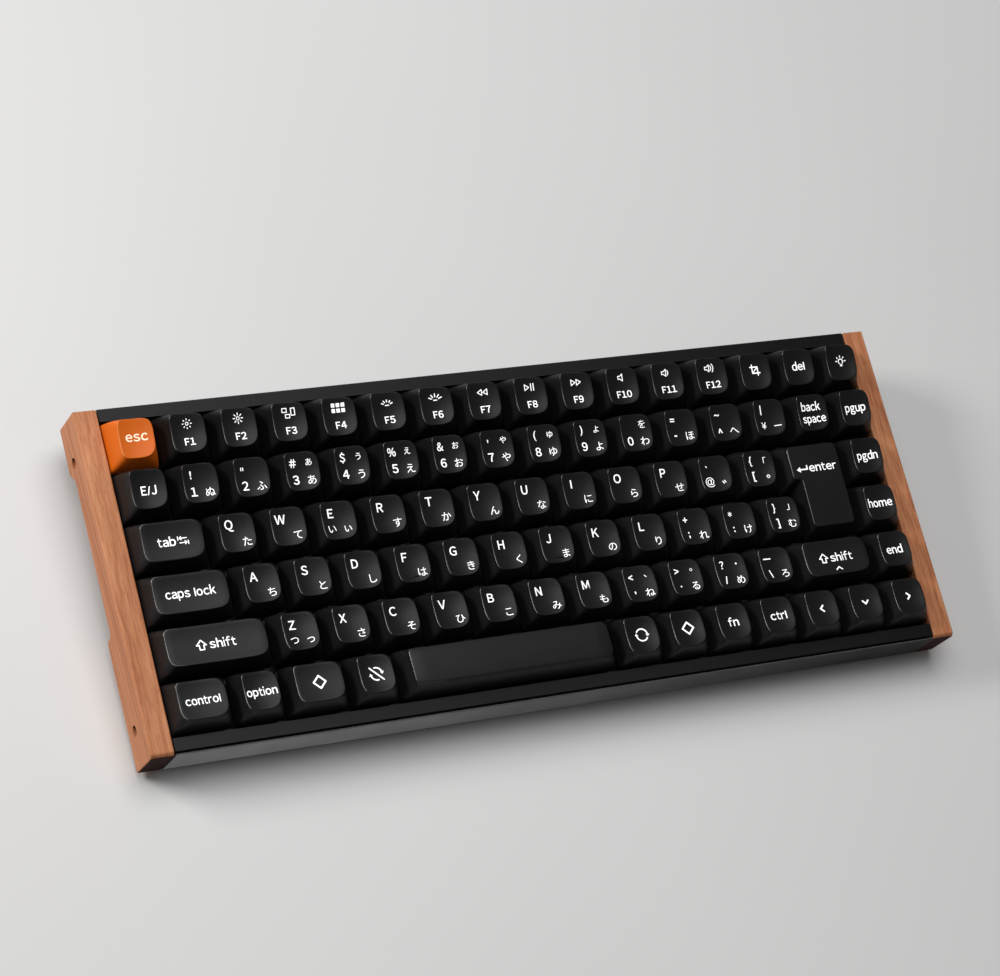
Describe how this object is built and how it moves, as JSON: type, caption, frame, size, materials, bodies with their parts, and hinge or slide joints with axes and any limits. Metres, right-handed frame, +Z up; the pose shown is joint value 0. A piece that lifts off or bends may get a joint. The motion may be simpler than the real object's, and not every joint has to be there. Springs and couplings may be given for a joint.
{
  "type": "mechanical keyboard",
  "caption": "Compact mechanical keyboard with wooden sides, a dark aluminium top frame, charcoal keycaps and one orange escape key.",
  "frame": {"origin": "on the desk, under the middle of the keyboard's outline", "axes": "+X to the typist's right, +Y away from the typist, +Z up from the desk"},
  "size_m": [0.322, 0.1276, 0.0382],
  "materials": {
    "case_plastic": "fine-textured black plastic",
    "frame_aluminium": "dark grey anodised, fine bead-blasted",
    "side_wood": "rosewood, satin oil, grain front to back",
    "screw_steel": "black oxide",
    "plate_aluminium": "satin anodised",
    "switch_nylon": "moulded nylon",
    "circuit_board": "solder mask over glass-fibre board",
    "foam": "open-cell sound-damping foam",
    "battery_film": "heat-shrunk film",
    "port_steel": "plain stainless shell",
    "pad_rubber": "matt rubber",
    "slider_plastic": "moulded",
    "foot_plastic": "moulded",
    "keycap_charcoal": "fine-textured doubleshot plastic",
    "keycap_orange": "fine-textured doubleshot plastic"
  },
  "bodies": {
    "case": {"bottom_case": "case_plastic", "top_frame": "frame_aluminium", "wood_side_left": "side_wood", "wood_side_right": "side_wood", "wood_screw_left_front": "screw_steel", "wood_screw_left_back": "screw_steel", "wood_screw_right_front": "screw_steel", "wood_screw_right_back": "screw_steel", "switch_plate": "plate_aluminium", "switch_housings": "switch_nylon", "circuit_board": "circuit_board", "case_foam": "foam", "battery": "battery_film", "usb_c_socket": "port_steel", "front_pad_left": "pad_rubber", "front_pad_right": "pad_rubber", "rear_pad_left": "pad_rubber", "rear_pad_right": "pad_rubber"},
    "connection_slider": {"connection_slider": "slider_plastic"},
    "system_slider": {"system_slider": "slider_plastic"},
    "flip_foot_left": {"flip_foot_left": "foot_plastic"},
    "flip_foot_right": {"flip_foot_right": "foot_plastic"},
    "function_keys_1_to_4": {"function_keys_1_to_4": "keycap_charcoal"},
    "function_keys_5_to_8": {"function_keys_5_to_8": "keycap_charcoal"},
    "function_keys_9_to_12": {"function_keys_9_to_12": "keycap_charcoal"},
    "number_keys_left": {"number_keys_left": "keycap_charcoal"},
    "number_keys_right": {"number_keys_right": "keycap_charcoal"},
    "upper_letters_left": {"upper_letters_left": "keycap_charcoal"},
    "upper_letters_right": {"upper_letters_right": "keycap_charcoal"},
    "home_letters_left": {"home_letters_left": "keycap_charcoal"},
    "home_letters_right": {"home_letters_right": "keycap_charcoal"},
    "lower_letters_left": {"lower_letters_left": "keycap_charcoal"},
    "lower_letters_right": {"lower_letters_right": "keycap_charcoal"},
    "key_esc": {"key_esc": "keycap_orange"},
    "key_capture": {"key_capture": "keycap_charcoal"},
    "key_delete": {"key_delete": "keycap_charcoal"},
    "key_light": {"key_light": "keycap_charcoal"},
    "key_language": {"key_language": "keycap_charcoal"},
    "key_backspace": {"key_backspace": "keycap_charcoal"},
    "key_page_up": {"key_page_up": "keycap_charcoal"},
    "key_tab": {"key_tab": "keycap_charcoal"},
    "key_enter": {"key_enter": "keycap_charcoal"},
    "key_page_down": {"key_page_down": "keycap_charcoal"},
    "key_caps_lock": {"key_caps_lock": "keycap_charcoal"},
    "key_home": {"key_home": "keycap_charcoal"},
    "key_shift_left": {"key_shift_left": "keycap_charcoal"},
    "key_shift_right": {"key_shift_right": "keycap_charcoal"},
    "key_end": {"key_end": "keycap_charcoal"},
    "key_control_left": {"key_control_left": "keycap_charcoal"},
    "key_option": {"key_option": "keycap_charcoal"},
    "key_command_left": {"key_command_left": "keycap_charcoal"},
    "key_convert_off": {"key_convert_off": "keycap_charcoal"},
    "key_space": {"key_space": "keycap_charcoal"},
    "key_convert_on": {"key_convert_on": "keycap_charcoal"},
    "key_command_right": {"key_command_right": "keycap_charcoal"},
    "key_fn": {"key_fn": "keycap_charcoal"},
    "key_control_right": {"key_control_right": "keycap_charcoal"},
    "key_arrow_left": {"key_arrow_left": "keycap_charcoal"},
    "key_arrow_down": {"key_arrow_down": "keycap_charcoal"},
    "key_arrow_right": {"key_arrow_right": "keycap_charcoal"}
  },
  "joints": [
    {"name": "connection_slide", "type": "slide", "parent": "case", "child": "connection_slider", "axis": [1, 0, 0], "range_m": [-0.0025, 0.0025]},
    {"name": "system_slide", "type": "slide", "parent": "case", "child": "system_slider", "axis": [1, 0, 0], "range_m": [0, 0.003]},
    {"name": "flip_foot_left_hinge", "type": "hinge", "parent": "case", "child": "flip_foot_left", "pos_m": [-0.102, 0.05432, 0.00369], "axis": [1, 0, 0], "range_deg": [0, 90]},
    {"name": "flip_foot_right_hinge", "type": "hinge", "parent": "case", "child": "flip_foot_right", "pos_m": [0.102, 0.05432, 0.00369], "axis": [1, 0, 0], "range_deg": [0, 90]},
    {"name": "function_keys_1_to_4_press", "type": "slide", "parent": "case", "child": "function_keys_1_to_4", "axis": [0, 0.0872, -0.9962], "range_m": [0, 0.0038], "stiffness_N_per_m": 400, "springref_m": -0.003},
    {"name": "function_keys_5_to_8_press", "type": "slide", "parent": "case", "child": "function_keys_5_to_8", "axis": [0, 0.0872, -0.9962], "range_m": [0, 0.0038], "stiffness_N_per_m": 400, "springref_m": -0.003},
    {"name": "function_keys_9_to_12_press", "type": "slide", "parent": "case", "child": "function_keys_9_to_12", "axis": [0, 0.0872, -0.9962], "range_m": [0, 0.0038], "stiffness_N_per_m": 400, "springref_m": -0.003},
    {"name": "number_keys_left_press", "type": "slide", "parent": "case", "child": "number_keys_left", "axis": [0, 0.0872, -0.9962], "range_m": [0, 0.0038], "stiffness_N_per_m": 600, "springref_m": -0.003},
    {"name": "number_keys_right_press", "type": "slide", "parent": "case", "child": "number_keys_right", "axis": [0, 0.0872, -0.9962], "range_m": [0, 0.0038], "stiffness_N_per_m": 700, "springref_m": -0.003},
    {"name": "upper_letters_left_press", "type": "slide", "parent": "case", "child": "upper_letters_left", "axis": [0, 0.0872, -0.9962], "range_m": [0, 0.0038], "stiffness_N_per_m": 600, "springref_m": -0.003},
    {"name": "upper_letters_right_press", "type": "slide", "parent": "case", "child": "upper_letters_right", "axis": [0, 0.0872, -0.9962], "range_m": [0, 0.0038], "stiffness_N_per_m": 600, "springref_m": -0.003},
    {"name": "home_letters_left_press", "type": "slide", "parent": "case", "child": "home_letters_left", "axis": [0, 0.0872, -0.9962], "range_m": [0, 0.0038], "stiffness_N_per_m": 600, "springref_m": -0.003},
    {"name": "home_letters_right_press", "type": "slide", "parent": "case", "child": "home_letters_right", "axis": [0, 0.0872, -0.9962], "range_m": [0, 0.0038], "stiffness_N_per_m": 600, "springref_m": -0.003},
    {"name": "lower_letters_left_press", "type": "slide", "parent": "case", "child": "lower_letters_left", "axis": [0, 0.0872, -0.9962], "range_m": [0, 0.0038], "stiffness_N_per_m": 600, "springref_m": -0.003},
    {"name": "lower_letters_right_press", "type": "slide", "parent": "case", "child": "lower_letters_right", "axis": [0, 0.0872, -0.9962], "range_m": [0, 0.0038], "stiffness_N_per_m": 500, "springref_m": -0.003},
    {"name": "key_esc_press", "type": "slide", "parent": "case", "child": "key_esc", "axis": [0, 0.0872, -0.9962], "range_m": [0, 0.0038], "stiffness_N_per_m": 100, "springref_m": -0.003},
    {"name": "key_capture_press", "type": "slide", "parent": "case", "child": "key_capture", "axis": [0, 0.0872, -0.9962], "range_m": [0, 0.0038], "stiffness_N_per_m": 100, "springref_m": -0.003},
    {"name": "key_delete_press", "type": "slide", "parent": "case", "child": "key_delete", "axis": [0, 0.0872, -0.9962], "range_m": [0, 0.0038], "stiffness_N_per_m": 100, "springref_m": -0.003},
    {"name": "key_light_press", "type": "slide", "parent": "case", "child": "key_light", "axis": [0, 0.0872, -0.9962], "range_m": [0, 0.0038], "stiffness_N_per_m": 100, "springref_m": -0.003},
    {"name": "key_language_press", "type": "slide", "parent": "case", "child": "key_language", "axis": [0, 0.0872, -0.9962], "range_m": [0, 0.0038], "stiffness_N_per_m": 100, "springref_m": -0.003},
    {"name": "key_backspace_press", "type": "slide", "parent": "case", "child": "key_backspace", "axis": [0, 0.0872, -0.9962], "range_m": [0, 0.0038], "stiffness_N_per_m": 100, "springref_m": -0.003},
    {"name": "key_page_up_press", "type": "slide", "parent": "case", "child": "key_page_up", "axis": [0, 0.0872, -0.9962], "range_m": [0, 0.0038], "stiffness_N_per_m": 100, "springref_m": -0.003},
    {"name": "key_tab_press", "type": "slide", "parent": "case", "child": "key_tab", "axis": [0, 0.0872, -0.9962], "range_m": [0, 0.0038], "stiffness_N_per_m": 100, "springref_m": -0.003},
    {"name": "key_enter_press", "type": "slide", "parent": "case", "child": "key_enter", "axis": [0, 0.0872, -0.9962], "range_m": [0, 0.0038], "stiffness_N_per_m": 100, "springref_m": -0.003},
    {"name": "key_page_down_press", "type": "slide", "parent": "case", "child": "key_page_down", "axis": [0, 0.0872, -0.9962], "range_m": [0, 0.0038], "stiffness_N_per_m": 100, "springref_m": -0.003},
    {"name": "key_caps_lock_press", "type": "slide", "parent": "case", "child": "key_caps_lock", "axis": [0, 0.0872, -0.9962], "range_m": [0, 0.0038], "stiffness_N_per_m": 100, "springref_m": -0.003},
    {"name": "key_home_press", "type": "slide", "parent": "case", "child": "key_home", "axis": [0, 0.0872, -0.9962], "range_m": [0, 0.0038], "stiffness_N_per_m": 100, "springref_m": -0.003},
    {"name": "key_shift_left_press", "type": "slide", "parent": "case", "child": "key_shift_left", "axis": [0, 0.0872, -0.9962], "range_m": [0, 0.0038], "stiffness_N_per_m": 100, "springref_m": -0.003},
    {"name": "key_shift_right_press", "type": "slide", "parent": "case", "child": "key_shift_right", "axis": [0, 0.0872, -0.9962], "range_m": [0, 0.0038], "stiffness_N_per_m": 100, "springref_m": -0.003},
    {"name": "key_end_press", "type": "slide", "parent": "case", "child": "key_end", "axis": [0, 0.0872, -0.9962], "range_m": [0, 0.0038], "stiffness_N_per_m": 100, "springref_m": -0.003},
    {"name": "key_control_left_press", "type": "slide", "parent": "case", "child": "key_control_left", "axis": [0, 0.0872, -0.9962], "range_m": [0, 0.0038], "stiffness_N_per_m": 100, "springref_m": -0.003},
    {"name": "key_option_press", "type": "slide", "parent": "case", "child": "key_option", "axis": [0, 0.0872, -0.9962], "range_m": [0, 0.0038], "stiffness_N_per_m": 100, "springref_m": -0.003},
    {"name": "key_command_left_press", "type": "slide", "parent": "case", "child": "key_command_left", "axis": [0, 0.0872, -0.9962], "range_m": [0, 0.0038], "stiffness_N_per_m": 100, "springref_m": -0.003},
    {"name": "key_convert_off_press", "type": "slide", "parent": "case", "child": "key_convert_off", "axis": [0, 0.0872, -0.9962], "range_m": [0, 0.0038], "stiffness_N_per_m": 100, "springref_m": -0.003},
    {"name": "key_space_press", "type": "slide", "parent": "case", "child": "key_space", "axis": [0, 0.0872, -0.9962], "range_m": [0, 0.0038], "stiffness_N_per_m": 100, "springref_m": -0.003},
    {"name": "key_convert_on_press", "type": "slide", "parent": "case", "child": "key_convert_on", "axis": [0, 0.0872, -0.9962], "range_m": [0, 0.0038], "stiffness_N_per_m": 100, "springref_m": -0.003},
    {"name": "key_command_right_press", "type": "slide", "parent": "case", "child": "key_command_right", "axis": [0, 0.0872, -0.9962], "range_m": [0, 0.0038], "stiffness_N_per_m": 100, "springref_m": -0.003},
    {"name": "key_fn_press", "type": "slide", "parent": "case", "child": "key_fn", "axis": [0, 0.0872, -0.9962], "range_m": [0, 0.0038], "stiffness_N_per_m": 100, "springref_m": -0.003},
    {"name": "key_control_right_press", "type": "slide", "parent": "case", "child": "key_control_right", "axis": [0, 0.0872, -0.9962], "range_m": [0, 0.0038], "stiffness_N_per_m": 100, "springref_m": -0.003},
    {"name": "key_arrow_left_press", "type": "slide", "parent": "case", "child": "key_arrow_left", "axis": [0, 0.0872, -0.9962], "range_m": [0, 0.0038], "stiffness_N_per_m": 100, "springref_m": -0.003},
    {"name": "key_arrow_down_press", "type": "slide", "parent": "case", "child": "key_arrow_down", "axis": [0, 0.0872, -0.9962], "range_m": [0, 0.0038], "stiffness_N_per_m": 100, "springref_m": -0.003},
    {"name": "key_arrow_right_press", "type": "slide", "parent": "case", "child": "key_arrow_right", "axis": [0, 0.0872, -0.9962], "range_m": [0, 0.0038], "stiffness_N_per_m": 100, "springref_m": -0.003}
  ]
}
